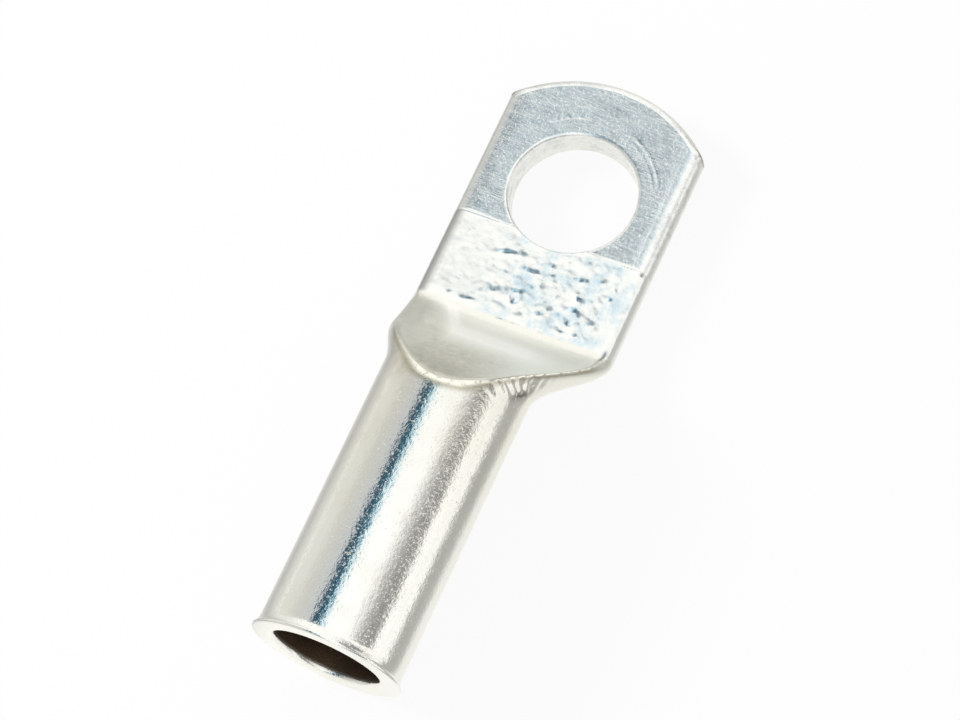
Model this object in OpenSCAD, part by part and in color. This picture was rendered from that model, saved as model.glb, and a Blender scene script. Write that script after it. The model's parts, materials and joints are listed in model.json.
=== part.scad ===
// Tin-plated copper cable lug, pressed from one length of tube.
// The origin is on the stud hole's axis, on the contact face under the palm.
// +X runs along the lug to the palm's tip, +Z is the palm's upward normal.

/* [Barrel] */
// Bore that takes the stripped conductor
bore_d = 7; // [5.5:0.1:8.5]
// Wall of the tube
wall = 1.2; // [0.8:0.05:1.5]
// Round tube, from the mouth to the crest of the pressed ridge
barrel_len = 17.8; // [12:0.1:26]
// How far the tube's cut end bells out, on the radius
lip_flare = 0.25; // [0:0.05:0.5]
// Length over which the cut end bells out
lip_len = 0.9; // [0.5:0.1:2]
// Rounding of the bore's mouth
mouth_round = 0.3; // [0.1:0.05:0.5]

/* [Neck] */
// From the crest of the ridge to the crease where the palm starts
neck_len = 7.5; // [5:0.1:10]
// From the crest of the ridge to where the left side starts to spread
left_lead = 1; // [0.5:0.1:1.5]
// How far short of the crease the left side has finished spreading
left_early = 2.9; // [0:0.1:3]
// From the crest of the ridge to where the right side starts to spread
right_lead = 2; // [0.5:0.1:3]
// Depth of the hollow that the punch leaves across the shoulder
dish_depth = 0.35; // [0:0.05:0.6]
// How far short of the crease the walls meet and the hollow inside ends
hollow_early = 1.2; // [1:0.1:3]

/* [Palm] */
// Width over the folded sides
palm_w = 13.8; // [12.5:0.1:17]
// How much thinner than two walls the palm is pressed
palm_squeeze = 0.1; // [0:0.05:0.3]
// From the crease to the centre of the stud hole
crease_to_hole = 9.8; // [8:0.1:16]
// From the centre of the stud hole to the tip
hole_to_tip = 8.2; // [6.8:0.1:12]
// Radius of the arc across the tip
tip_r = 9.6; // [9:0.1:13]
// Rounding along the edges of the tip
tip_round = 0.45; // [0.1:0.05:0.6]
// How far the tube's axis lies to one side of the palm's middle
palm_set = 0.8; // [0:0.1:1.2]
// Depth of the flat that is coined round the stud hole
coin_depth = 0.1; // [0.05:0.05:0.2]
// From the coined flat's step to the centre of the stud hole
coin_lead = 3.65; // [2:0.05:6]

/* [Stud hole] */
// Hole for the stud, with clearance for M8
hole_d = 8.4; // [6.4:0.1:9]
// Rounding of the edge that the punch went in by
hole_round = 0.25; // [0.1:0.05:0.4]

/* [Hidden] */
$fn = 96;
od = bore_d + 2 * wall;
palm_t = 2 * wall - palm_squeeze;
palm_x = -crease_to_hole;
crest_x = palm_x - neck_len;
mouth_x = crest_x - barrel_len;
tip_x = hole_to_tip - tip_r;
// Rounding of the tube's cut edge, and steps in each rounded edge
lip_round = 0.15;
round_steps = 5;
// The neck's skin lies this far inside the tube's and the palm's, and runs this far into them
seam = 0.02;
lap = 0.5;
// A cutter runs past the face that it opens by this much
past = 1;
// Stations along the neck, points up each side of a ring, and points across its top
stations = 12;
side_steps = 12;
top_steps = 8;
// A ring's lowest and highest facets end at this angle from the horizontal
facet_angle = 86;
// The wall leans with the shoulder, so it is measured thicker upright than square to itself
lean = sqrt(1 + pow((od - palm_t) / neck_len, 2));
lean_run = 1.5;

function blend(from, to, share) = from + (to - from) * share;
function smooth(t) = let (u = min(1, max(0, t))) u * u * (3 - 2 * u);
function arc(centre, radius, first, last) = [
    for (i = [0 : round_steps]) let (
        angle = blend(first, last, i / round_steps)
    ) centre + radius * [cos(angle), sin(angle)]
];

// Height of the punched shoulder: half a straight ramp and half a smooth one
function ramp(t) = 1 - (smooth(t) + min(1, max(0, t))) / 2;
function press_z(d) = palm_t + (od - palm_t) * ramp(d / neck_len);
function hollow_z(d) = press_z(d) - wall * blend(1, lean, min(1, d / lean_run));

// A side of the neck at a distance d past the crest, where side is 1 for left and -1 for right:
// how far it has spread, its rounding, which ends as half the pressed height, and its reach
function spread(d, side) = side > 0
    ? smooth((d - left_lead) / (neck_len - left_early - left_lead))
    : smooth((d - right_lead) / (neck_len - right_lead));
function side_r(d, side) = blend(od / 2, press_z(d) / 2, spread(d, side));
function reach_y(d, side) = blend(palm_set + side * od / 2, side * palm_w / 2, spread(d, side));

// Angle up the side, from the middle of its rounding, at which a ring is cut off flat
function cut_angle(d, inset, top, side) = let (
    rise = (top - side_r(d, side)) / (side_r(d, side) - inset)
) min(facet_angle, asin(max(-1, min(1, rise))));
function side_point(d, inset, angle, side) = let (r = side_r(d, side)) [
    reach_y(d, side) - side * (r - (r - inset) * cos(angle)),
    r + (r - inset) * sin(angle)
];
// Points up one side of a ring, from its lowest facet to where it is cut off
function side_arc(d, inset, top, side) = [
    for (i = [0 : side_steps])
        side_point(d, inset, blend(-facet_angle, cut_angle(d, inset, top, side), i / side_steps), side)
];
function reversed(points) = [for (i = [len(points) - 1 : -1 : 0]) points[i]];
function sag(d, share) = dish_depth * sin(180 * min(1, max(0, d / neck_len))) * (1 - pow(2 * share - 1, 2));

// One ring of the neck: up the left side, across the top and down the right side
function ring(d, inset, top) = let (
    left = side_arc(d, inset, top, 1),
    right = reversed(side_arc(d, inset, top, -1))
) concat(
    left,
    [for (i = [1 : top_steps - 1]) let (
        share = i / top_steps
    ) blend(left[side_steps], right[0], share) - [0, sag(d, share)]],
    right
);
function placed(points, x) = [for (p = points) [x, p[0], p[1]]];

// Triangles that skin a stack of equal rings, with a face over each end
function skin(count, size) = concat(
    [for (r = [0 : count - 2], i = [0 : size - 1], k = [0, 1]) let (
        a = r * size + i,
        b = r * size + (i + 1) % size
    ) k == 0 ? [a, b + size, b] : [a, a + size, b + size]],
    [[for (i = [0 : size - 1]) i]],
    [[for (i = [size - 1 : -1 : 0]) (count - 1) * size + i]]
);

// Skins a list of rings of (y, z) points, each at its own x
module loft(rings, places) {
    polyhedron(
        points = [for (r = [0 : len(rings) - 1]) each placed(rings[r], places[r])],
        faces = skin(len(rings), len(rings[0]))
    );
}

// Turns a profile of (radius, distance from the mouth) about the tube's axis
module turned(profile) {
    translate([mouth_x, palm_set, od / 2])
        rotate([0, 90, 0])
            rotate_extrude()
                polygon(profile);
}

module tube_blank() {
    lip_steps = 6;
    turned(concat(
        [[0, 0]],
        arc([od / 2 + lip_flare - lip_round, lip_round], lip_round, -90, 0),
        [for (i = [1 : lip_steps - 1]) [
            od / 2 + lip_flare * pow(1 - i / lip_steps, 2),
            blend(lip_round, lip_len, i / lip_steps)
        ]],
        [[od / 2, lip_len], [od / 2, barrel_len], [0, barrel_len]]
    ));
}

module bore() {
    turned(concat(
        [[0, -past], [bore_d / 2 + mouth_round, -past]],
        arc([bore_d / 2 + mouth_round, mouth_round], mouth_round, -90, -180),
        [[bore_d / 2, barrel_len], [0, barrel_len]]
    ));
}

// The round tube pressed flat: the skin runs a little way into the barrel and the palm
module neck_blank() {
    run = [for (i = [1 : stations - 1]) neck_len * i / stations];
    loft(
        [for (d = concat([0], run, [neck_len])) ring(d, seam, press_z(d))],
        concat([crest_x - lap], [for (d = run) crest_x + d], [palm_x + lap])
    );
}

module neck_hollow() {
    run = [for (i = [1 : stations]) (neck_len - hollow_early) * i / stations];
    loft(
        [for (d = concat([0], run)) ring(d, wall + seam, hollow_z(d))],
        concat([crest_x - lap], [for (d = run) crest_x + d])
    );
}

// The flattened tube's section, with both sides folded round
module folded_bar() {
    translate([palm_x, 0, 0])
        rotate([90, 0, 90])
            linear_extrude(crease_to_hole + hole_to_tip)
                union() {
                    translate([-palm_w / 2 + palm_t / 2, 0])
                        square([palm_w - palm_t, palm_t]);
                    for (side = [-1, 1])
                        translate([side * (palm_w - palm_t) / 2, palm_t / 2])
                            circle(d = palm_t);
                }
}

// The sheared outline: a disc with rounded edges for the tip, and a block behind it
module tip_outline() {
    translate([tip_x, 0, 0])
        rotate_extrude()
            polygon(concat(
                [[0, 0]],
                arc([tip_r - tip_round, tip_round], tip_round, -90, 0),
                arc([tip_r - tip_round, palm_t - tip_round], tip_round, 0, 90),
                [[0, palm_t]]
            ));
    translate([palm_x - past, -palm_w / 2 - past / 2, 0])
        cube([tip_x - palm_x + past, palm_w + past, palm_t]);
}

module palm_blank() {
    difference() {
        intersection() {
            folded_bar();
            tip_outline();
        }
        translate([-coin_lead, -palm_w, palm_t - coin_depth])
            cube([coin_lead + hole_to_tip + past, 2 * palm_w, past]);
    }
}

// Punched from above, so its upper edge is drawn in round and its lower edge is left square
module stud_hole() {
    high = palm_t - coin_depth;
    rotate_extrude()
        polygon(concat(
            [[0, -past], [hole_d / 2, -past]],
            arc([hole_d / 2 + hole_round, high - hole_round], hole_round, 180, 90),
            [[hole_d / 2 + hole_round, high + past], [0, high + past]]
        ));
}

module cable_lug() {
    color("silver")
        difference() {
            union() {
                tube_blank();
                neck_blank();
                palm_blank();
            }
            bore();
            neck_hollow();
            stud_hole();
        }
}

cable_lug();
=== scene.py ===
"""A tin-plated cable lug, pressed from one length of tube, on a plain pale floor.

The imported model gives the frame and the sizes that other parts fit. The lug's skin is worked out
here as numpy surfaces in millimetres, closed into one mesh in metres, worn where the press and
the tumbling barrel left marks, and dressed in bright tin plate.
"""

import json
import logging
import math
from collections.abc import Callable
from dataclasses import dataclass, field
from enum import Enum
from typing import Any

import bmesh
import bpy
import numpy as np
from mathutils import Matrix, Vector


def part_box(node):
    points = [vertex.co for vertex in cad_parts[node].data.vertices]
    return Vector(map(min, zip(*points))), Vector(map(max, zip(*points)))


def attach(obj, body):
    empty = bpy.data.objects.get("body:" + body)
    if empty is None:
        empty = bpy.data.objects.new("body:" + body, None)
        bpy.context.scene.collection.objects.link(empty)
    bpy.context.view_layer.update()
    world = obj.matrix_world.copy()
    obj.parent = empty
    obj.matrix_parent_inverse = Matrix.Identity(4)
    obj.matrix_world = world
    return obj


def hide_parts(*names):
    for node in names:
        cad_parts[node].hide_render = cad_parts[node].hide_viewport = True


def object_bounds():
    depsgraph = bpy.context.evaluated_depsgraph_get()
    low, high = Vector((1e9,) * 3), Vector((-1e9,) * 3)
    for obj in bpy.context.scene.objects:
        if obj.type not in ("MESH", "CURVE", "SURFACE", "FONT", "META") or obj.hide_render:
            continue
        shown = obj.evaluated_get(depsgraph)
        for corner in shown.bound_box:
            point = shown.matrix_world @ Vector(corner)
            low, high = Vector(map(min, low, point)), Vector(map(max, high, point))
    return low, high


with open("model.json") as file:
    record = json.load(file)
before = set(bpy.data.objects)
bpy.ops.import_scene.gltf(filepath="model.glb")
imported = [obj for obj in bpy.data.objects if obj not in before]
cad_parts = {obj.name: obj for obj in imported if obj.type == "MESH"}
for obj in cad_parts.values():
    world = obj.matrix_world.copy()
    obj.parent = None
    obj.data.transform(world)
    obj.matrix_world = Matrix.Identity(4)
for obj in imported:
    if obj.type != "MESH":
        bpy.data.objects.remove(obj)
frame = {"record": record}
CAD_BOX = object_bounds()

LOG = logging.getLogger("cable_lug")
MM = 0.001
QUARTER_TURN = math.pi / 2.0
NODE = "cable_lug"
PUNCHED = "punched"

Array = np.ndarray
Pair = tuple[float, float]
Triple = tuple[float, float, float]
Colour = Triple
# Where something starts to show and where it is full
Run = Pair
# Rows of a place and the colour there, in rising order of place
Bands = tuple[tuple[float, float, float, float], ...]


class Side(Enum):
    """The two sides of the lug, seen from above with the palm's tip pointing away."""

    LEFT = 1.0
    RIGHT = -1.0


# ---- small formulas

def smooth(t: Array) -> Array:
    """Ease from 0 to 1 as t goes from 0 to 1: 3 t squared less 2 t cubed, flat outside."""
    u = np.clip(t, 0.0, 1.0)
    return u * u * (3.0 - 2.0 * u)


def rise(value: Array, start: float, end: float) -> Array:
    """Ease from 0 where value is start to 1 where it is end, which may be the lower."""
    return smooth((value - start) / (end - start))


def blend(start: Any, end: Any, share: Any) -> Any:
    """Start plus share of the way to end."""
    return start + (end - start) * share


def soft_min(a: Array, b: Array, reach: float) -> Array:
    """The smaller of two heights, less up to a quarter of reach where they are near."""
    share = np.clip(0.5 + 0.5 * (b - a) / reach, 0.0, 1.0)
    return blend(b, a, share) - reach * share * (1.0 - share)


def soft_max(a: Array, b: Array, reach: float) -> Array:
    """The larger of two heights, plus up to a quarter of reach where they are near."""
    return -soft_min(-np.asarray(a), -np.asarray(b), reach)


def bell(distance: Array, width: float) -> Array:
    """A smooth bump of height 1: e to the minus (distance over width) squared."""
    return np.exp(-np.square(distance / width))


def ripple(place: Array, pitch: float) -> Array:
    """A wave between 0 and 1: a half plus half the sine, one wave to each pitch."""
    return 0.5 + 0.5 * np.sin(2.0 * math.pi * place / pitch)


def polar(radius: Any, angle: Array) -> Array:
    """Plan points at a radius and an angle: the radius times the cosine and the sine."""
    return np.stack([radius * np.cos(angle), radius * np.sin(angle)], axis=-1)


def lifted(plan: Array, z: Array) -> Array:
    """Plan points with a height each."""
    return np.concatenate([plan, z[..., None]], axis=-1)


# ---- sizes

@dataclass(frozen=True)
class LugSizes:
    """Sizes in millimetres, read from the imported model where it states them."""

    bore_r: float
    stud_r: float
    axis_y: float
    axis_z: float
    mouth_x: float
    apex_x: float
    half_palm: float
    wall: float = 1.2
    lip_flare: float = 0.25
    lip_len: float = 0.9
    lip_round: float = 0.15
    mouth_round: float = 0.3
    neck_len: float = 7.5
    crease_to_hole: float = 9.8
    palm_t: float = 2.3
    tip_r: float = 9.6
    tip_round: float = 0.45
    hole_round: float = 0.25
    coin_depth: float = 0.1
    burr_round: float = 0.05
    coin_lead: float = 3.65
    dish_depth: float = 0.35
    hollow_early: float = 1.2

    @property
    def tube_r(self) -> float:
        """Outer radius of the round tube."""
        return self.bore_r + self.wall

    @property
    def press_fall(self) -> float:
        """How far the tube's top is pressed down to the palm."""
        return 2.0 * self.tube_r - self.palm_t

    @property
    def palm_x(self) -> float:
        """Where the shoulder's foot meets the palm."""
        return -self.crease_to_hole

    @property
    def crest_x(self) -> float:
        """Where the punched shoulder starts, at the crest of the tube."""
        return self.palm_x - self.neck_len

    @property
    def tip_x(self) -> float:
        """Centre of the arc across the tip."""
        return self.apex_x - self.tip_r

    @classmethod
    def from_frame(cls, record: dict[str, Any]) -> "LugSizes":
        """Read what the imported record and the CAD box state.

        Args:
            record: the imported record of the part.

        Returns:
            The lug's sizes.
        """
        mounts = {mount["name"]: mount for mount in record["mounts"]}
        barrel = mounts["cable_barrel"]
        low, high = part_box(NODE)
        return cls(
            bore_r=barrel["dims"]["r_mm"],
            stud_r=mounts["stud_hole"]["dims"]["r_mm"],
            axis_y=barrel["pos_m"][1] / MM,
            axis_z=barrel["pos_m"][2] / MM,
            mouth_x=low[0] / MM,
            apex_x=high[0] / MM,
            half_palm=high[1] / MM,
        )


@dataclass(frozen=True)
class Density:
    """How many steps each surface is drawn with."""

    quarter: int = 64
    barrel: int = 26
    lip: int = 8
    edge: int = 6
    cut_end: int = 4
    drawn_edge: int = 8
    burr: int = 4
    neck: int = 92
    bore: int = 10
    hollow: int = 26
    side: int = 96
    tip: int = 104
    wall: int = 8
    top: int = 50
    under: int = 10


# ---- patchwork

# An edge shorter than this share of the merging distance is taken out
SLIVER = 0.1


@dataclass
class Patchwork:
    """Grids of points that are joined edge to edge into one closed mesh."""

    points: list[Array] = field(default_factory=list)
    quads: list[Array] = field(default_factory=list)
    count: int = 0

    def add(self, grid: Array, closed: bool = False) -> None:
        """Add a grid of points as quads.

        Args:
            grid: points, shaped (rows, columns, 3).
            closed: whether the last column joins the first.
        """
        rows, columns, _ = grid.shape
        index = np.arange(rows * columns).reshape(rows, columns) + self.count
        if closed:
            index = np.concatenate([index, index[:, :1]], axis=1)
        corners = index[:-1, :-1], index[:-1, 1:], index[1:, 1:], index[1:, :-1]
        quads = np.stack(corners, axis=-1)
        self.points.append(grid.reshape(-1, 3))
        self.quads.append(quads.reshape(-1, 4))
        self.count += rows * columns

    def mesh(self, name: str, merge: float) -> bpy.types.Mesh:
        """Close the patches into one mesh with its faces outwards.

        Args:
            name: the mesh's name.
            merge: points nearer than this become one.

        Returns:
            The closed mesh, shaded smooth.
        """
        mesh = bpy.data.meshes.new(name)
        mesh.from_pydata(np.concatenate(self.points) * MM, [], np.concatenate(self.quads))
        work = bmesh.new()
        work.from_mesh(mesh)
        bmesh.ops.remove_doubles(work, verts=work.verts, dist=merge * MM)
        bmesh.ops.dissolve_degenerate(work, edges=work.edges, dist=merge * SLIVER * MM)
        bmesh.ops.recalc_face_normals(work, faces=work.faces)
        open_edges = sum(1 for edge in work.edges if len(edge.link_faces) != 2)
        LOG.info("%s: %d faces, %d open edges", name, len(work.faces), open_edges)
        work.to_mesh(mesh)
        work.free()
        mesh.polygons.foreach_set("use_smooth", np.ones(len(mesh.polygons), dtype=bool))
        mesh.update()
        return mesh


# ---- the tube and its neck

@dataclass(frozen=True)
class PressedTube:
    """The round tube, from its mouth to where the press has laid it flat.

    Each side starts to spread a lead past the crest, and the left side ends early. A reach is how
    near two surfaces come before the corner between them is rounded.
    """

    sizes: LugSizes
    density: Density
    left_lead: float = 1.0
    left_early: float = 2.9
    right_lead: float = 2.0
    ridge_reach: float = 0.3
    crown: float = 0.16
    crease_reach: float = 0.3
    lean_run: float = 1.5
    closing: float = 0.15
    lead_in: float = 0.4
    least_r: float = 0.05
    least_half: float = 0.1

    def spread(self, d: Array, side: Side) -> Array:
        """How far one side has spread, 0 to 1, at a distance d past the crest."""
        neck_len = self.sizes.neck_len
        if side is Side.LEFT:
            return rise(d, self.left_lead, neck_len - self.left_early)
        return rise(d, self.right_lead, neck_len)

    def press_z(self, d: Array) -> Array:
        """Height of the shoulder at d past the crest: half a straight ramp, half a smooth one."""
        size = self.sizes
        t = d / size.neck_len
        return size.palm_t + size.press_fall * (1.0 - (smooth(t) + t) / 2.0)

    def rounding(self, d: Array, side: Side) -> Array:
        """Radius of one side: the tube's, easing to half the pressed height as it spreads."""
        half = self.press_z(np.clip(d, 0.0, self.sizes.neck_len)) / 2.0
        return blend(self.sizes.tube_r, half, self.spread(d, side))

    def centre_y(self, d: Array, side: Side) -> Array:
        """Centre of one side's rounding: its reach, less its radius."""
        size = self.sizes
        start = size.axis_y + side.value * size.tube_r
        reach = blend(start, side.value * size.half_palm, self.spread(d, side))
        return reach - side.value * self.rounding(d, side)

    def crease_fill(self, d: Array) -> Array:
        """Height of the fillet in the corner between the shoulder and the palm."""
        ramp = self.press_z(d)
        flat = np.full_like(ramp, self.sizes.palm_t)
        return soft_max(ramp, flat, self.crease_reach) - np.maximum(ramp, flat)

    @property
    def flat_share(self) -> float:
        """The share of a quarter ring's length that lies on the palm's flat."""
        rounding = self.sizes.palm_t / 2.0
        flat = self.sizes.half_palm - rounding
        return flat / (flat + rounding * QUARTER_TURN)

    @property
    def flat_steps(self) -> int:
        """How many steps of a quarter ring lie on the palm's flat."""
        return round(self.density.quarter * self.flat_share)

    def shares(self) -> Array:
        """Places along a quarter of a ring, 0 at the middle line and 1 at the side.

        The place where the palm's flat ends falls on a step, so the palm's edge starts on a line
        of points.
        """
        steps = self.density.quarter
        corners = [0, self.flat_steps, steps]
        return np.interp(np.arange(steps + 1), corners, [0.0, self.flat_share, 1.0])

    def half_ring(self, x: Array, side: Side, inset: float, radius: Array | None = None) -> Array:
        """One side of the rings at stations x, from the top line round to the bottom line.

        A ring starts as the tube's circle. As it spreads, its side keeps a shrinking half circle
        and flats open between the two sides. The top is then pressed down to the shoulder.

        Args:
            x: stations along the lug.
            side: which side of the ring.
            inset: how far inside the outer skin the ring lies.
            radius: radius of the circle at each station, for the barrel alone.

        Returns:
            Points in a row for each station.
        """
        size = self.sizes
        d = (x - size.crest_x)[:, None]
        middle = (self.centre_y(d, Side.LEFT) + self.centre_y(d, Side.RIGHT)) / 2.0
        centre_z = self.rounding(d, side)
        flat = np.maximum(side.value * (self.centre_y(d, side) - middle), 0.0)
        arc_r = np.maximum(centre_z - inset, self.least_r)
        if radius is not None:
            arc_r = radius[:, None]
        run = self.shares()[None, :] * (flat + arc_r * QUARTER_TURN)
        angle = QUARTER_TURN - np.maximum(run - flat, 0.0) / arc_r
        out = np.minimum(run, flat) + arc_r * np.cos(angle)
        lift = np.where(run < flat, 1.0, np.sin(angle))
        crown = self.crown * self.spread(d, side) if inset == 0.0 else 0.0
        filled = self.crease_fill(d) * lift if inset == 0.0 else 0.0
        pressed = self.pressed(d, out, flat, arc_r, centre_z, inset)
        pressed = np.maximum(pressed, centre_z - arc_r + self.ridge_reach)
        top = soft_min(centre_z + (arc_r + crown) * lift, pressed, self.ridge_reach) + filled
        top = np.maximum(top, centre_z)
        bottom = centre_z - arc_r * lift
        y = middle + side.value * out
        plan = np.stack([np.broadcast_to(x[:, None], y.shape), y], axis=-1)
        upper, under = lifted(plan, top), lifted(plan, bottom)
        return np.concatenate([upper, under[:, -2::-1]], axis=1)

    def pressed(
        self, d: Array, out: Array, flat: Array, arc_r: Array, centre_z: Array, inset: float
    ) -> Array:
        """Height of the punched face, dished between the lines where it meets the sides.

        Args:
            d: distance past the crest.
            out: distance from the middle line.
            flat: half width of the ring between its two roundings.
            arc_r: radius of the side's rounding.
            centre_z: height of the rounding's centre.
            inset: how far inside the skin the ring lies, measured upright where it leans.

        Returns:
            The face's heights.
        """
        size = self.sizes
        t = np.clip(d / size.neck_len, 0.0, 1.0)
        lean = math.hypot(1.0, size.press_fall / size.neck_len)
        upright = inset * blend(1.0, lean, np.clip(d / self.lean_run, 0.0, 1.0))
        face = self.press_z(d) - upright
        cut = np.clip((face - centre_z) / arc_r, -1.0, 1.0)
        half = np.maximum(flat + arc_r * np.sqrt(1.0 - cut * cut), self.least_half)
        across = np.clip(out / half, 0.0, 1.0)
        return face - size.dish_depth * np.sin(math.pi * t) * (1.0 - across * across)

    def rings(self, x: Array, inset: float = 0.0, radius: Array | None = None) -> Array:
        """Whole rings at stations x: down the left side, then up the right."""
        left = self.half_ring(x, Side.LEFT, inset, radius)
        right = self.half_ring(x, Side.RIGHT, inset, radius)
        return np.concatenate([left, right[:, -2:0:-1]], axis=1)

    def outer(self) -> Array:
        """Rings of the outer skin, from the palm's crease back to the start of the lip."""
        size = self.sizes
        neck = np.linspace(size.palm_x, size.crest_x - self.lead_in, self.density.neck)
        barrel = np.linspace(neck[-1], size.mouth_x + size.lip_len, self.density.barrel)[1:]
        return np.concatenate([self.rings(neck), self.rings(barrel)])

    def mouth(self) -> Array:
        """Rings over the lip, across the cut end and round the bore's edge."""
        size = self.sizes
        steps = self.density
        lip_t = np.linspace(1.0, size.lip_round / size.lip_len, steps.lip)[:-1]
        turn = np.linspace(0.0, QUARTER_TURN, steps.edge)
        lip_centre = size.tube_r + size.lip_flare - size.lip_round
        face = np.linspace(lip_centre, size.bore_r + size.mouth_round, steps.cut_end)[1:-1]
        distance = np.concatenate([
            size.lip_len * lip_t,
            size.lip_round * (1.0 - np.sin(turn)),
            np.zeros_like(face),
            size.mouth_round * (1.0 - np.cos(turn)),
        ])
        radius = np.concatenate([
            size.tube_r + size.lip_flare * np.square(1.0 - lip_t),
            lip_centre + size.lip_round * np.cos(turn),
            face,
            size.bore_r + size.mouth_round * (1.0 - np.sin(turn)),
        ])
        return self.rings(size.mouth_x + distance, 0.0, radius)

    def inner(self) -> Array:
        """Rings of the bore and of the hollow that narrows to a closed seam under the shoulder."""
        size = self.sizes
        start = size.mouth_x + size.mouth_round
        bore = np.linspace(start, size.crest_x, self.density.bore)
        foot = size.palm_x - size.hollow_early
        hollow = np.linspace(size.crest_x, foot, self.density.hollow)[1:]
        straight = self.rings(bore, 0.0, np.full_like(bore, size.bore_r))
        narrowing = self.rings(hollow, size.wall)
        seam = narrowing[-1:].copy()
        seam[..., 0] += self.closing
        seam[..., 2] = (seam[..., 2].max() + seam[..., 2].min()) / 2.0
        return np.concatenate([straight, narrowing, seam])


# ---- the palm

@dataclass(frozen=True)
class Palm:
    """The flat that bolts down: folded sides, a sheared tip and the stud hole.

    The seam is the fine groove between the two pressed walls. Points down an upright wall are
    crowded about the seam, and a face bends to meet its outline by a high power of the way out.
    """

    sizes: LugSizes
    density: Density
    tube: PressedTube
    step_run: float = 0.12
    seam_depth: float = 0.04
    seam_width: float = 0.06
    seam_fade: float = 0.5
    crowding: float = 0.08
    side_run: Run = (1.0, 0.1)
    bend_power: int = 8

    def top_z(self, x: Array) -> Array:
        """Height of the upper face at x: the fillet at the crease and the coined flat."""
        size = self.sizes
        fill = self.tube.crease_fill(x - size.crest_x)
        coined = rise(x, -size.coin_lead, self.step_run - size.coin_lead)
        return size.palm_t + fill - size.coin_depth * coined

    def wall_shares(self) -> Array:
        """Places down an upright wall, between 0 and 1, with both ends left out."""
        share = np.linspace(0.0, 1.0, self.density.wall + 1)[1:-1, None]
        return share + self.crowding * np.sin(2.0 * math.pi * share)

    def outline(self) -> tuple[Array, Array, Array]:
        """The palm's edge from the left crease, round the tip, to the right crease.

        On the sides both lines run straight. Round the tip both are arcs about one centre.

        Returns:
            Points where the flat ends, points of the edge itself, and how tall the rounding is.
        """
        size = self.sizes
        steps = self.density
        rounding = size.palm_t / 2.0
        inner_y = size.half_palm - rounding
        inner_r = size.tip_r - size.tip_round
        inner_turn = math.asin(inner_y / inner_r)
        outer_turn = math.asin(size.half_palm / size.tip_r)
        share = np.linspace(0.0, 1.0, steps.side + 1)
        sweep = np.linspace(1.0, -1.0, steps.tip + 1)
        inner_end = size.tip_x + inner_r * math.cos(inner_turn)
        outer_end = size.tip_x + size.tip_r * math.cos(outer_turn)

        def line(y: float, end: float, radius: float, turn: float) -> Array:
            """A straight left side at y up to end, the tip's arc, and the right side."""
            side_x = blend(size.palm_x, end, share)
            left = np.stack([side_x, np.full_like(side_x, y)], axis=-1)
            tip = polar(radius, sweep * turn) + [size.tip_x, 0.0]
            right = (left * [1.0, -1.0])[::-1]
            return np.concatenate([left, tip[1:-1], right])

        inner = line(inner_y, inner_end, inner_r, inner_turn)
        outer = line(size.half_palm, outer_end, size.tip_r, outer_turn)
        over = np.maximum(np.abs(outer[:, 1]) - inner_y, 0.0)
        fold = np.sqrt(np.maximum(rounding * rounding - over * over, 0.0))
        tall = np.maximum(size.tip_round, rounding - fold)
        return inner, outer, tall

    def rim(self) -> Array:
        """The rounded edge all round, from the upper face over to the underside.

        Each profile runs out from the inner line to the outer one by a cosine, while its height
        falls by a sine. Between the two roundings the wall is upright, with the seam's groove.

        Returns:
            Points in a row for each place down the profile.
        """
        size = self.sizes
        inner, outer, tall = self.outline()
        arc_steps = self.density.quarter - self.tube.flat_steps
        turn = np.linspace(QUARTER_TURN, 0.0, arc_steps + 1)[:, None]
        top = self.top_z(inner[:, 0])
        thick = size.palm_t
        on_side = rise(size.half_palm - np.abs(outer[:, 1]), *self.side_run)
        plain = thick - tall + tall * np.sin(turn)
        ridged = soft_min(
            thick - tall + (tall + self.tube.crown) * np.sin(turn),
            np.full((arc_steps + 1, len(top)), thick),
            self.tube.ridge_reach,
        )
        upper_z = blend(plain, ridged, on_side) + (top - thick) * np.sin(turn)
        lower_z = tall * (1.0 - np.sin(turn))
        plan = inner + (outer - inner) * np.cos(turn)[..., None]
        wall_z = blend(upper_z[-1], lower_z[-1], self.wall_shares())
        shown = smooth((upper_z[-1] - lower_z[-1]) / self.seam_fade)
        groove = self.seam_depth * bell(wall_z - top / 2.0, self.seam_width) * shown
        away = outer - [size.tip_x, 0.0]
        away = away / np.linalg.norm(away, axis=-1, keepdims=True)
        wall = lifted(outer - away * groove[..., None], wall_z)
        return np.concatenate([lifted(plan, upper_z), wall, lifted(plan, lower_z)[::-1]])

    def face(
        self, loop: Array, hole_r: float, rows: int, height: Callable[[Array], Array]
    ) -> Array:
        """One face of the palm, as rays from the hole's edge to the outline.

        Args:
            loop: the outline's points, in order round the palm.
            hole_r: radius at which the face starts.
            rows: how many steps each ray has.
            height: function that gives the face's height at x.

        Returns:
            Points in a row for each step out along the rays.
        """
        angle = np.arctan2(loop[:, 1], loop[:, 0])
        share = np.linspace(0.0, 1.0, rows + 1)[:, None, None]
        plan = blend(polar(hole_r, angle), loop[:, :2], share)
        z = height(plan[..., 0])
        return lifted(plan, z + (loop[:, 2] - z[-1]) * share[..., 0] ** self.bend_power)

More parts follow.
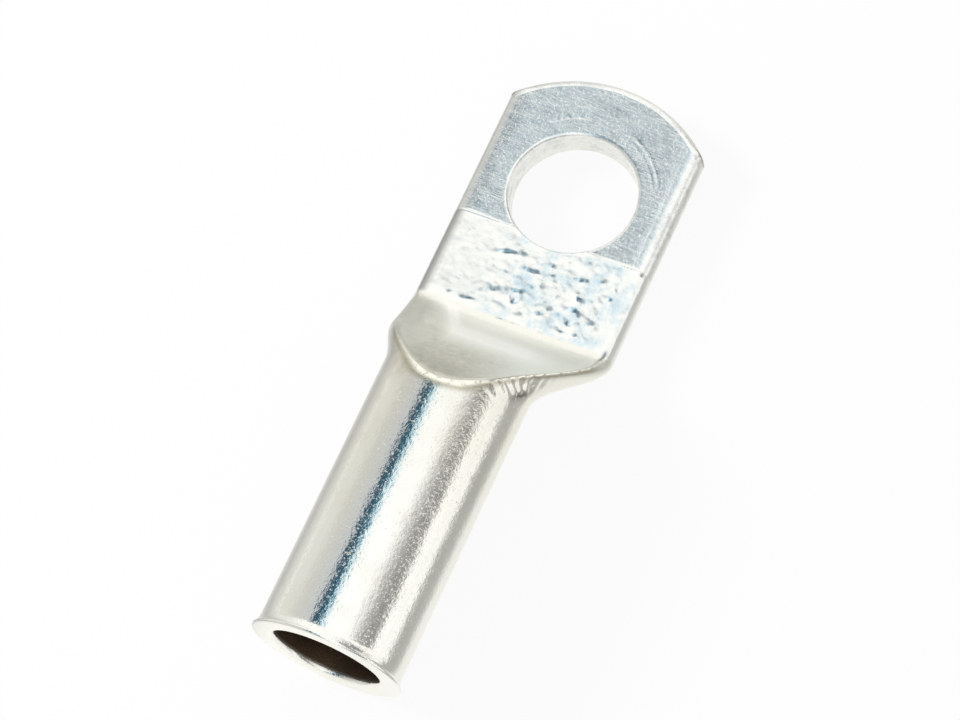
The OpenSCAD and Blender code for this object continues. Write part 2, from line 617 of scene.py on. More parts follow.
    def hole(self, loop: Array) -> Array:
        """The stud hole's wall, with rounded edges and the seam half way down.

        Args:
            loop: the outline that the upper face ends on, which sets the angles.

        Returns:
            Points in a row for each place down the wall.
        """
        size = self.sizes
        angle = np.arctan2(loop[:, 1], loop[:, 0])
        turn = np.linspace(QUARTER_TURN, 0.0, self.density.drawn_edge)[:, None]
        back = np.linspace(0.0, QUARTER_TURN, self.density.burr)[:, None]
        draw, burr = size.hole_round, size.burr_round
        edge_r = size.stud_r + draw
        top = self.top_z(edge_r * np.cos(angle))
        wall_z = blend(top - draw, burr, self.wall_shares())
        flat = np.ones_like(angle)
        radius = np.concatenate([
            (edge_r - draw * np.cos(turn)) * flat,
            size.stud_r + self.seam_depth * bell(wall_z - top / 2.0, self.seam_width),
            (size.stud_r + burr - burr * np.cos(back)) * flat,
        ])
        z = np.concatenate([
            top - draw * (1.0 - np.sin(turn)),
            wall_z,
            burr * (1.0 - np.sin(back)) * flat,
        ])
        return lifted(polar(radius, angle), z)

    def patches(self) -> list[Array]:
        """Every surface of the palm, as grids that meet edge to edge.

        Returns:
            The rim as an open grid, then both faces and the hole as closed ones.
        """
        size = self.sizes
        steps = self.density
        rim = self.rim()
        ring = self.tube.rings(np.array([size.palm_x]))[0]
        flat, half = self.tube.flat_steps, 2 * steps.quarter
        top_line = np.concatenate([ring[-flat:], ring[:flat]])
        under_line = ring[half - flat + 1: half + flat + 1][::-1]
        top_loop = np.concatenate([top_line, rim[0, :-1]])
        under_loop = np.concatenate([under_line, rim[-1, :-1]])
        top = self.face(top_loop, size.stud_r + size.hole_round, steps.top, self.top_z)
        under = self.face(under_loop, size.stud_r + size.burr_round, steps.under, np.zeros_like)
        return [rim, top, under, self.hole(top_loop)]


# ---- wear

@dataclass(frozen=True)
class Spot:
    """A soft oval patch over two measures: its middle on each and its reach along each."""

    at: Pair
    reach: Pair

    def share(self, along: Array, across: Array) -> Array:
        """1 at the middle, falling away along each measure as a bell."""
        return bell(along - self.at[0], self.reach[0]) * bell(across - self.at[1], self.reach[1])


@dataclass(frozen=True)
class Dent:
    """One dent in the palm's upper face, in millimetres from the stud hole's axis."""

    x: float
    y: float
    length: float
    width: float
    turn: float
    depth: float
    ring: bool = False
    oval_reach: float = 0.8
    ring_reach: float = 0.45

    def low(self, x: Array, y: Array) -> Array:
        """How deep the dent is at x and y: a bell over an oval, or about its rim for a ring."""
        turn = math.radians(self.turn)
        dx, dy = x - self.x, y - self.y
        along = (dx * math.cos(turn) + dy * math.sin(turn)) / self.length
        across = (dy * math.cos(turn) - dx * math.sin(turn)) / self.width
        away = np.hypot(along, across)
        shape = bell(away - 1.0, self.ring_reach) if self.ring else bell(away, self.oval_reach)
        return self.depth * shape


@dataclass(frozen=True)
class Wear:
    """Marks that the press and the tumbling barrel left, as small moves along the surface.

    Folds and their hollow are placed by the distance past the crest and the depth below the
    shoulder, the chip by the distance from the hole's wall and the angle about the hole, and the
    strokes by the distance from the mouth and from the tube's axis. An arc has a radius, a width
    and a share of the depth.
    """

    sizes: LugSizes
    tube: PressedTube
    seed: int = 11
    pits: int = 54
    pit_margins: Pair = (0.8, 0.4)
    pit_radii: Pair = (0.12, 0.26)
    pit_depths: Pair = (0.004, 0.016)
    pit_left: float = 0.62
    pit_span: float = 1.4
    fold_depth: float = 0.17
    fold_pitch: float = 0.46
    fold_slant: float = 0.4
    fold_waver: Pair = (0.06, 0.31)
    fold_side: Run = (-2.4, -3.2)
    folds: Spot = Spot((2.3, 1.1), (1.2, 0.75))
    fold_hollow: Spot = Spot((1.7, 2.1), (0.45, 0.35))
    arc_depth: float = 0.016
    arcs: tuple[Triple, ...] = ((5.5, 0.10, 1.0), (5.115, 0.08, 0.5))
    arc_spans: tuple[Pair, ...] = ((6.0, 42.0), (-68.0, -20.0))
    arc_fade: float = 8.0
    arc_breaks: Pair = (2.3, 0.9)
    chip: Spot = Spot((0.25, math.radians(5.0)), (0.12, 0.12))
    chip_depth: float = 0.07
    chip_height: Run = (1.6, 1.9)
    strokes: Spot = Spot((11.0, -2.9), (0.4, 0.5))
    stroke_depth: float = 0.02
    stroke_pitch: float = 0.3
    stroke_height: Run = (6.0, 7.0)
    facing_up: Run = (0.7, 0.9)
    leaning: Run = (0.15, 0.4)
    above_palm: float = 0.4
    shoulder_margins: Pair = (0.5, 1.0)
    skin_depth: float = 0.4
    dents: tuple[Dent, ...] = (
        Dent(-5.5, 2.2, 1.1, 0.25, -75.0, 0.05),
        Dent(-6.2, 0.3, 0.6, 0.2, -88.0, 0.04),
        Dent(-5.4, -0.9, 0.25, 0.25, 0.0, 0.03),
        Dent(-9.4, 4.7, 0.22, 0.15, -80.0, 0.04),
        Dent(-9.4, 3.5, 0.6, 0.14, -80.0, 0.045),
        Dent(-8.3, 2.0, 0.6, 0.3, -75.0, 0.02),
        Dent(-8.2, 0.5, 0.42, 0.35, 0.0, 0.035, True),
        Dent(-7.1, -0.7, 0.5, 0.35, 20.0, 0.035),
        Dent(-7.3, -1.9, 0.45, 0.3, -40.0, 0.03),
        Dent(-5.7, -2.9, 0.6, 0.2, -80.0, 0.04),
        Dent(-5.3, -4.2, 0.5, 0.25, -70.0, 0.04),
        Dent(-5.5, -5.3, 0.4, 0.2, 35.0, 0.035),
        Dent(-6.3, -5.2, 0.3, 0.2, 0.0, 0.03),
        Dent(-7.0, -3.3, 0.3, 0.2, 20.0, 0.045),
        Dent(-8.8, -1.4, 0.5, 0.35, -60.0, 0.03),
        Dent(-8.3, -3.4, 0.5, 0.42, 0.0, 0.04, True),
        Dent(-9.4, -3.2, 0.3, 0.15, -80.0, 0.04),
        Dent(-9.3, -4.1, 0.3, 0.18, -50.0, 0.04),
    )

    def palm_pits(self, x: Array, y: Array) -> Array:
        """Shallow dents over the palm between the crease and the coined flat.

        The seeded ones are small bells, crowded towards the palm's middle and right.
        """
        size = self.sizes
        dice = np.random.default_rng(self.seed)
        behind, ahead = size.palm_x + self.pit_margins[0], -size.coin_lead - self.pit_margins[1]
        centre_x = dice.uniform(behind, ahead, self.pits)
        inward = np.sqrt(dice.uniform(0.0, 1.0, self.pits))
        centre_y = size.half_palm * (self.pit_left - self.pit_span * inward)
        radius = dice.uniform(*self.pit_radii, self.pits)
        depth = dice.uniform(*self.pit_depths, self.pits)
        away = np.hypot(x[:, None] - centre_x, y[:, None] - centre_y)
        low = (depth * bell(away, radius)).sum(axis=1)
        return low + sum(dent.low(x, y) for dent in self.dents)

    def arc_marks(self, x: Array, y: Array) -> Array:
        """Two short broken grooves about the stud hole, left by a washer's edge."""
        radius = np.hypot(x, y)
        angle = np.degrees(np.arctan2(y, x))
        fade = self.arc_fade
        groove = sum(share * bell(radius - at, width) for at, width, share in self.arcs)
        coarse, close = (np.sin(angle / width) for width in self.arc_breaks)
        shown = np.maximum(*(
            rise(angle, first, first + fade) * rise(angle, last, last - fade)
            for first, last in self.arc_spans
        ))
        return self.arc_depth * groove * (0.6 + 0.4 * coarse * close) * shown

    def wrinkles(self, x: Array, y: Array, z: Array) -> Array:
        """Small folds where the wall was gathered, under the ridge's right end."""
        size = self.sizes
        along = x - size.crest_x
        under = self.tube.press_z(np.clip(along, 0.0, size.neck_len)) - z
        patch = self.folds.share(along, under) * rise(y - size.axis_y, *self.fold_side)
        sway, sway_len = self.fold_waver
        slant = along + self.fold_slant * under + sway * np.sin(along / sway_len)
        hollow = self.fold_hollow.share(along, under) * (y < size.axis_y)
        return self.fold_depth * (patch * ripple(slant, self.fold_pitch) + hollow)

    def nick(self, x: Array, y: Array, z: Array) -> Array:
        """A chip in the hole's upper edge, and three short strokes side by side on the barrel."""
        size = self.sizes
        chip = self.chip.share(np.hypot(x, y) - size.stud_r, np.arctan2(y, x))
        along = x - size.mouth_x
        strokes = self.strokes.share(along, y - size.axis_y)
        slant = along - self.strokes.at[0] - self.fold_slant * y
        strokes = strokes * ripple(slant, self.stroke_pitch) * rise(z, *self.stroke_height)
        return self.chip_depth * chip * rise(z, *self.chip_height) + self.stroke_depth * strokes

    def punched(self, x: Array, z: Array, lean: Array) -> Array:
        """The punched shoulder, 0 to 1, where the normal leans to the tip above the palm."""
        size = self.sizes
        before, past = self.shoulder_margins
        high = rise(z, size.palm_t, size.palm_t + self.above_palm)
        along = (x > size.crest_x - before) * (x < size.palm_x + past)
        return rise(lean, *self.leaning) * high * along

    def apply(self, mesh: bpy.types.Mesh) -> None:
        """Push the mesh's points inwards along their normals by the depth of every mark.

        The punched shoulder is kept as an attribute of the points, for the tin plate to read.

        Args:
            mesh: the lug's closed mesh.
        """
        size = self.sizes
        points, normals = (np.empty((len(mesh.vertices), 3)) for _ in range(2))
        mesh.vertices.foreach_get("co", points.ravel())
        mesh.vertices.foreach_get("normal", normals.ravel())
        x, y, z = points.T / MM
        upward = rise(normals[:, 2], *self.facing_up) * (x > size.palm_x)
        outside = np.hypot(y - size.axis_y, z - size.axis_z) > size.bore_r + self.skin_depth
        punched = self.punched(x, z, normals[:, 0])
        low = upward * (self.palm_pits(x, y) + self.arc_marks(x, y))
        low = low + (self.wrinkles(x, y, z) * (1.0 - punched) + self.nick(x, y, z)) * outside
        points -= normals * low[:, None] * MM
        mesh.vertices.foreach_set("co", points.ravel())
        mark = mesh.attributes.new(PUNCHED, "FLOAT", "POINT")
        mark.data.foreach_set("value", punched.astype(np.float32))
        mesh.update()


# ---- shader maths

def _maths(operation: str, swapped: bool = False) -> "Callable[[Sock, Any], Sock]":
    """Make a method of Sock that adds one Math node.

    Args:
        operation: the Math node's operation.
        swapped: whether the other operand comes first.

    Returns:
        The method, which takes the other operand.
    """
    def method(sock: "Sock", other: Any) -> "Sock":
        """Work on this socket and the other operand."""
        first, second = (other, sock) if swapped else (sock, other)
        inputs = {0: first, 1: second}
        return sock.book.out(sock.book.node("ShaderNodeMath", inputs, operation=operation))
    return method


@dataclass(frozen=True)
class Sock:
    """A shader socket that Python's operators can work on, by one Math node each.

    angle_from is the angle whose rise is this socket and whose run is the other, in radians.
    """

    book: "Book"
    source: bpy.types.NodeSocket

    __add__ = __radd__ = _maths("ADD")
    __sub__ = _maths("SUBTRACT")
    __rsub__ = _maths("SUBTRACT", swapped=True)
    __mul__ = __rmul__ = _maths("MULTIPLY")
    __truediv__ = _maths("DIVIDE")
    __rtruediv__ = _maths("DIVIDE", swapped=True)
    __pow__ = _maths("POWER")
    angle_from = _maths("ARCTAN2")
    max = _maths("MAXIMUM")
    min = _maths("MINIMUM")

    def clamp(self) -> "Sock":
        """Self kept between 0 and 1."""
        return self.max(0.0).min(1.0)

    def beyond(self, start: float) -> "Sock":
        """How far self is past start, and 0 before it."""
        return (self - start).max(0.0)

    def away(self, other: "Sock") -> "Sock":
        """The distance whose two sides are self and other."""
        return (self * self + other * other) ** 0.5

    def step(self, run: Run) -> "Sock":
        """Ease from 0 to 1 over a run, which may fall."""
        inputs = {"Value": self, "From Min": run[0], "From Max": run[1]}
        settings = {"interpolation_type": "SMOOTHSTEP", "clamp": True}
        return self.book.out(self.book.node("ShaderNodeMapRange", inputs, **settings))


@dataclass(frozen=True)
class Grain:
    """Cloud-like noise: its pitch in millimetres, its detail, and how it is drawn out."""

    pitch: float
    detail: float = 2.0
    rough: float = 0.5
    drawn: Triple = (1.0, 1.0, 1.0)
    turn: float = 0.0


class Book:
    """Adds nodes to the node tree of one material or world."""

    def __init__(self, owner: bpy.types.ID) -> None:
        """Clear the owner's tree and keep it."""
        owner.use_nodes = True
        self.tree = owner.node_tree
        self.tree.nodes.clear()

    def node(
        self, kind: str, inputs: dict[Any, Any] | None = None, **settings: Any
    ) -> bpy.types.Node:
        """Add one node, set it up and feed its sockets.

        Args:
            kind: the node's type.
            inputs: socket names or numbers, each with a value, a Sock or a whole node.
            settings: the node's own properties, set before its sockets are fed.

        Returns:
            The new node.
        """
        made = self.tree.nodes.new(kind)
        for name, value in settings.items():
            setattr(made, name, value)
        for name, value in (inputs or {}).items():
            if isinstance(value, bpy.types.Node):
                value = self.out(value)
            if isinstance(value, Sock):
                self.tree.links.new(value.source, made.inputs[name])
            else:
                made.inputs[name].default_value = value
        return made

    def out(self, made: bpy.types.Node, name: Any = 0) -> Sock:
        """One output of a node, as a Sock."""
        return Sock(self, made.outputs[name])

    def axes(self, kind: str) -> tuple[Sock, Sock, Sock, Sock]:
        """A coordinate of the given kind, whole and as its x, y and z."""
        place = self.out(self.node("ShaderNodeTexCoord"), kind)
        parts = self.node("ShaderNodeSeparateXYZ", {0: place})
        return place, *(self.out(parts, name) for name in "XYZ")

    def mix(self, share: Any, first: Sock | Colour, second: Sock | Colour) -> Sock:
        """A colour share of the way from first to second."""
        pair = [(*item, 1.0) if isinstance(item, tuple) else item for item in (first, second)]
        inputs = {0: share, 6: pair[0], 7: pair[1]}
        return self.out(self.node("ShaderNodeMix", inputs, data_type="RGBA"), 2)

    def between(self, share: Sock, first: bpy.types.Node, second: bpy.types.Node) -> bpy.types.Node:
        """A shader share of the way from first to second."""
        return self.node("ShaderNodeMixShader", {0: share, 1: first, 2: second})

    def noise(self, place: Sock, grain: Grain) -> Sock:
        """Noise from 0 to 1 over a place in metres, turned about Z and drawn out."""
        if grain.turn:
            turned = {"Vector": place, "Rotation": (0.0, 0.0, grain.turn), "Scale": grain.drawn}
            place = self.out(self.node("ShaderNodeMapping", turned, vector_type="POINT"))
        look = {"Scale": 1.0 / (grain.pitch * MM), "Detail": grain.detail, "Roughness": grain.rough}
        made = self.node("ShaderNodeTexNoise", {"Vector": place, **look}, noise_dimensions="3D")
        return self.out(made)

    def ramp(self, share: Sock, bands: Bands) -> Sock:
        """The colour at share of the way from the first band's place to the last one's."""
        made = self.node("ShaderNodeValToRGB", {0: share})
        stops = made.color_ramp.elements
        stops.remove(stops[-1])
        first, last = bands[0][0], bands[-1][0]
        for number, (at, *colour) in enumerate(bands):
            stop = stops.new((at - first) / (last - first)) if number else stops[0]
            stop.color = (*colour, 1.0)
        return self.out(made)


# ---- finishes

@dataclass(frozen=True)
class Coat:
    """A tint laid over the plate, and how much of it shows where its mask is full."""

    colour: Colour
    share: float = 1.0


class Skin:
    """Where on the lug a point lies, as sockets: lengths in millimetres and masks from 0 to 1.

    A past length is measured towards the tip from the line that it names. The bend runs along
    the punched face's foot and slants forward on its left.
    """

    bend_at: float = 5.2
    bend_slant: float = 1.4
    bend_corner: float = 2.6
    clouding: Grain = Grain(2.4, 3.0)
    fineness: Grain = Grain(0.5, 4.0, 0.6)

    def __init__(self, book: Book, size: LugSizes) -> None:
        """Work out the lengths and masks.

        Args:
            book: the material's nodes.
            size: the lug's sizes.
        """
        self.place, *axes = book.axes("Object")
        x, self.y, self.z = (axis / MM for axis in axes)
        self.past_mouth = x - size.mouth_x
        self.past_crest = x - size.crest_x
        slant = self.bend_slant * self.y.beyond(self.bend_corner)
        self.past_bend = self.past_crest - self.bend_at - slant
        self.past_crease = x - size.palm_x
        self.past_step = x + size.coin_lead
        self.past_tip = (x - size.tip_x).away(self.y) - size.tip_r
        self.off_axis = self.y - size.axis_y
        self.off_bore = self.off_axis.away(self.z - size.axis_z) - size.bore_r
        t = (self.past_crest / size.neck_len).clamp()
        face = size.palm_t + size.press_fall * (1.0 - (t * t * (3.0 - 2.0 * t) + t) / 2.0)
        self.below = face - self.z + (0.0 - self.past_crest).max(0.0)
        self.cloud = book.noise(self.place, self.clouding)
        self.fine = book.noise(self.place, self.fineness)
        self.punched = book.out(book.node("ShaderNodeAttribute", attribute_name=PUNCHED), "Fac")
        self.palm = self.mask(past_crease=(-0.2, 0.2))
        self.tube = 1.0 - self.palm
        self.coined = self.mask(past_step=(-0.03, 0.05))
        self.raw_palm = self.palm * (1.0 - self.coined)
        self.neck = self.mask(past_crease=(-0.6, -1.6))
        self.barrel = self.neck * (1.0 - self.punched)
        self.collar = self.mask(below=(0.8, 0.35)) * self.barrel
        self.bore = self.mask(off_bore=(0.25, 0.1), past_crest=(0.1, -0.1), past_mouth=(0.1, 0.5))

    def mask(self, **runs: Run) -> Sock:
        """The product of steps, each of the length or mask that is named, over its run."""
        return math.prod(getattr(self, name).step(run) for name, run in runs.items())


@dataclass(frozen=True)
class BrightTin:
    """Bright tin plate over copper, rough and painted dark brown with shade inside the bore.

    The plate is one metal all over. Its tint, gloss and fine relief change from place to place:
    warm on the drawn tube, cool on the pressed palm, smoother where it is coined, and rougher
    inside the bore. Painted shade lies under the ridge, in the fold hollow, on the palm's left
    edge, on the punched face's upper part and, dark brown, in the bore; painted highlights lie on
    the crest and the bend, and painted sky reflection on the palm. Lengths are in millimetres.
    """

    sizes: LugSizes
    name: str = "bright_tin"
    warm: Colour = (0.87, 0.86, 0.82)
    shoulder_low: Colour = (0.81, 0.81, 0.74)
    # painted shade on the punched face's upper part
    shoulder_upper_shade: Colour = (0.50, 0.49, 0.42)
    # painted highlight along the bend at the punched face's foot
    bend_highlight: Colour = (1.00, 0.99, 0.95)
    cool: Coat = Coat((0.86, 0.87, 0.86), 0.85)
    stain: Coat = Coat((0.68, 0.65, 0.54), 0.2)
    # painted shade under the ridge's edge
    under_ridge_shade: Coat = Coat((0.46, 0.43, 0.33))
    # painted highlight along the ridge's crest
    crest_highlight: Coat = Coat((1.00, 0.98, 0.88), 0.9)
    # painted shade in the hollow under the folds
    hollow_shade: Coat = Coat((0.10, 0.09, 0.08), 0.95)
    # painted shade along the palm's left edge
    left_edge_shade: Coat = Coat((0.32, 0.32, 0.31))
    shear_grey: Coat = Coat((0.46, 0.43, 0.33), 0.75)
    dull: Coat = Coat((0.60, 0.62, 0.64), 0.5)
    # painted reflection of a blue sky, in patches on the raw palm
    sky_reflection: Coat = Coat((0.52, 0.67, 0.76), 0.8)
    spotted: Coat = Coat((0.55, 0.57, 0.58), 0.15)
    # painted shade: the bore, dark brown
    bore_shade: Coat = Coat((0.12, 0.08, 0.05))
    spots: Grain = Grain(0.16)
    dulling: Grain = Grain(0.8, 3.0, 0.6, (1.0, 0.6, 1.0), -0.37)
    haze: Grain = Grain(1.3, 3.0, 0.6)
    scratch_along: Grain = Grain(0.05, drawn=(0.06, 1.0, 1.0), turn=0.12)
    scratch_across: Grain = Grain(0.06, drawn=(1.0, 0.05, 1.0), turn=0.7)
    hatch: Grain = Grain(0.09, 1.0, drawn=(1.0, 0.05, 1.0), turn=0.42)
    streaks: Grain = Grain(0.3, 3.0, 0.6, (1.0, 0.22, 1.0), -0.37)
    peel: Grain = Grain(0.22, 2.0, 0.6)
    tooth: Grain = Grain(0.07)
    waves: Grain = Grain(0.6, 1.0)
    speckle: Grain = Grain(0.17, 2.0, 0.6)
    mottle: Grain = Grain(0.8, 1.0)
    # where the painted shade in the fold hollow sits: past the crest and below the face
    hollow_shade_at: Pair = (1.8, 2.0)
    hollow_shade_reach: Pair = (0.8, 0.45)
    bend_reach: float = 0.5
    palm_fall: float = 0.105
    tip_lift: Pair = (0.023, 0.0012)
    tip_worn: float = 0.5
    speckle_from: float = 0.58

    def shoulder(self, book: Book, skin: Skin) -> Sock:
        """The punched face's tint: painted shade in its upper part, a painted highlight along the
        bend at its foot.
        """
        off_bend = skin.past_bend / self.bend_reach
        bend = (1.5 / (1.0 + off_bend * off_bend)).min(1.0) * skin.mask(y=(-5.0, -1.5))
        upper = skin.mask(past_bend=(-0.2, -2.4), y=(-4.5, 0.5)) * (0.28 + 1.2 * skin.fine)
        upper = (upper * (1.0 - 0.55 * skin.mask(y=(2.4, 4.4)))).clamp()
        tint = book.mix(upper, self.shoulder_low, self.shoulder_upper_shade)
        # painted highlight along the bend
        return book.mix(bend, tint, self.bend_highlight)

    def ridge_coats(self, skin: Skin) -> tuple[tuple[Sock, Coat], ...]:
        """Masks and coats along the ridge: painted shade below it and in the fold hollow, a painted
        crest highlight.
        """
        crest = skin.mask(below=(0.38, 0.15), punched=(0.9, 0.5), fine=(0.36, 0.52))
        left_under_ridge_shade = skin.mask(below=(2.4, 0.3), y=(1.5, 3.8)) * skin.barrel
        off_x = (skin.past_crest - self.hollow_shade_at[0]) / self.hollow_shade_reach[0]
        off_low = (skin.below - self.hollow_shade_at[1]) / self.hollow_shade_reach[1]
        hollow_shade = 1.0 / (1.0 + off_x * off_x + off_low * off_low) ** 2.0
        return (
            # painted shade: a dark olive band under the ridge, and patches of it on the left
            ((skin.collar * (0.36 + 0.8 * skin.fine)).clamp(), self.under_ridge_shade),
            # painted highlight on the crest
            (crest * skin.neck * skin.tube, self.crest_highlight),
            ((left_under_ridge_shade * (0.9 * skin.fine - 0.02)).clamp(), self.under_ridge_shade),
            # painted shade in the fold hollow
            (hollow_shade * skin.mask(off_axis=(-2.0, -3.0), fine=(0.3, 0.5)), self.hollow_shade),
        )

    def palm_coats(self, book: Book, skin: Skin) -> tuple[tuple[Sock, Coat], ...]:
        """Masks and coats of the palm: painted shade on its left edge, sheared tip, dull patches,
        painted sky reflection.
        """
        left = skin.mask(y=(5.8, 6.4), z=(0.8, 1.6))
        dulled = book.noise(skin.place, self.dulling).step((0.45, 0.68))
        hazy = book.noise(skin.place, self.haze).step((0.42, 0.72))
        return (
            # painted shade on the left edge
            (left * (0.25 * skin.palm + 0.5 * skin.raw_palm), self.left_edge_shade),
            (skin.mask(past_tip=(-0.2, -0.05)) * skin.coined, self.shear_grey),
            (dulled * skin.coined, self.dull),
            # painted sky reflection
            (hazy * skin.raw_palm * skin.mask(y=(4.0, 1.0), z=(1.8, 2.1)), self.sky_reflection),
        )

    def tint(self, book: Book, skin: Skin, barrel_len: float) -> Sock:
        """The plate's colour: one coat over another, each by its own mask.

        Args:
            book: the material's nodes.
            skin: lengths and masks on the lug.
            barrel_len: the round tube's length in millimetres.

        Returns:
            The colour's socket.
        """
        spots = book.noise(skin.place, self.spots).step((0.62, 0.7))
        smudged = skin.mask(cloud=(0.5, 0.75)) + skin.mask(past_mouth=(4.0, barrel_len))
        tint = book.mix(skin.palm * self.cool.share, self.warm, self.cool.colour)
        tint = book.mix(smudged * skin.tube * self.stain.share, tint, self.stain.colour)
        tint = book.mix(skin.punched, tint, self.shoulder(book, skin))
        for mask, coat in (
            *self.ridge_coats(skin),
            *self.palm_coats(book, skin),
            (spots, self.spotted),
            # painted shade inside the bore
            (skin.bore, self.bore_shade),
        ):
            tint = book.mix(mask * coat.share, tint, coat.colour)
        return tint

    def build(self) -> bpy.types.Material:
        """Make the material.

        Returns:
            The material, with every pattern on object coordinates.
        """
        size = self.sizes
        material = bpy.data.materials.new(self.name)
        book = Book(material)
        skin = Skin(book, size)
        place, cloud, fine, coined = skin.place, skin.cloud, skin.fine, skin.coined

        along = book.noise(place, self.scratch_along).step((0.64, 0.72))
        across = book.noise(place, self.scratch_across).step((0.66, 0.74))
        scratches = (along + across * 0.6).clamp()
        hatch = book.noise(place, self.hatch).step((0.52, 0.66)) * skin.mask(cloud=(0.45, 0.6))
        streaks = book.noise(place, self.streaks)
        rough = 0.04 + 0.04 * cloud + 0.04 * fine + coined * (0.07 + 0.10 * fine + 0.10 * streaks)
        rough = rough + skin.raw_palm * 0.10 + skin.punched * 0.24 + skin.collar * 0.15
        rough = rough + scratches * 0.04 + skin.bore * 0.4

        speckle = book.noise(place, self.speckle).beyond(self.speckle_from)
        mottle = skin.raw_palm * (0.45 + 0.55 * skin.mask(y=(4.5, 1.5)) * skin.mask(y=(-6.2, -5.0)))
        lead = skin.past_step.max(0.0)
        tilt = (0.0 - skin.past_step).max(0.0).min(size.crease_to_hole - size.coin_lead)
        relief = tilt * self.palm_fall - lead * self.tip_lift[0] + lead * lead * self.tip_lift[1]
        for height, depth in (
            (book.noise(place, self.peel), 0.003 + 0.011 * skin.tube * (1.0 - skin.punched)),
            (book.noise(place, self.tooth), 0.0008),
            (book.noise(place, self.waves), 0.012 * skin.tube),
            (book.noise(place, self.mottle), 0.06 * mottle),
            (fine, 0.002 + 0.006 * coined),
            (speckle * (0.3 + 1.2 * cloud), 0.012 + 0.03 * skin.tube + 0.045 * coined),
            (streaks, 0.012 * coined),
            (skin.y * skin.y, 0.002 * coined),
            (skin.past_tip.beyond(-self.tip_worn), -0.2 * coined),
            (scratches, -0.0012),
            (hatch, -0.003 * coined),
        ):
            relief = relief + height * depth
        bump = book.node("ShaderNodeBump", {"Strength": 1.0, "Distance": MM, "Height": relief})
        tint = self.tint(book, skin, size.crest_x - size.mouth_x)
        look = {"Base Color": tint, "Metallic": 1.0, "Roughness": rough.clamp(), "Normal": bump}
        plate = book.node("ShaderNodeBsdfPrincipled", look)
        book.node("ShaderNodeOutputMaterial", {"Surface": plate})
        return material


# ---- the lug

def put(name: str, data: bpy.types.ID) -> bpy.types.Object:
    """Put an object with the given name and data into the scene, and say so."""
    made = bpy.data.objects.new(name, data)
    bpy.context.scene.collection.objects.link(made)
    LOG.info("%s is in the scene", name)
    return made


@dataclass(frozen=True)
class CableLug:
    """The whole lug: tube, neck and palm as one skin, in its tin plate."""

    sizes: LugSizes
    density: Density = Density()
    merge: float = 0.002

    def build(self) -> bpy.types.Object:
        """Build, wear and dress the lug.

        Returns:
            The lug's object, which stands for the CAD node.
        """
        tube = PressedTube(self.sizes, self.density)
        rim, *faces = Palm(self.sizes, self.density, tube).patches()
        work = Patchwork()
        for grid in (tube.outer(), tube.mouth(), tube.inner(), rim, *faces):
            work.add(grid, closed=grid is not rim)
        mesh = work.mesh("lug_skin", self.merge)
        Wear(self.sizes, tube).apply(mesh)
        mesh.materials.append(BrightTin(self.sizes).build())
        lug = put("lug_skin", mesh)
        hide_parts(NODE)
        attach(lug, "root")
        return lug


# ---- the studio

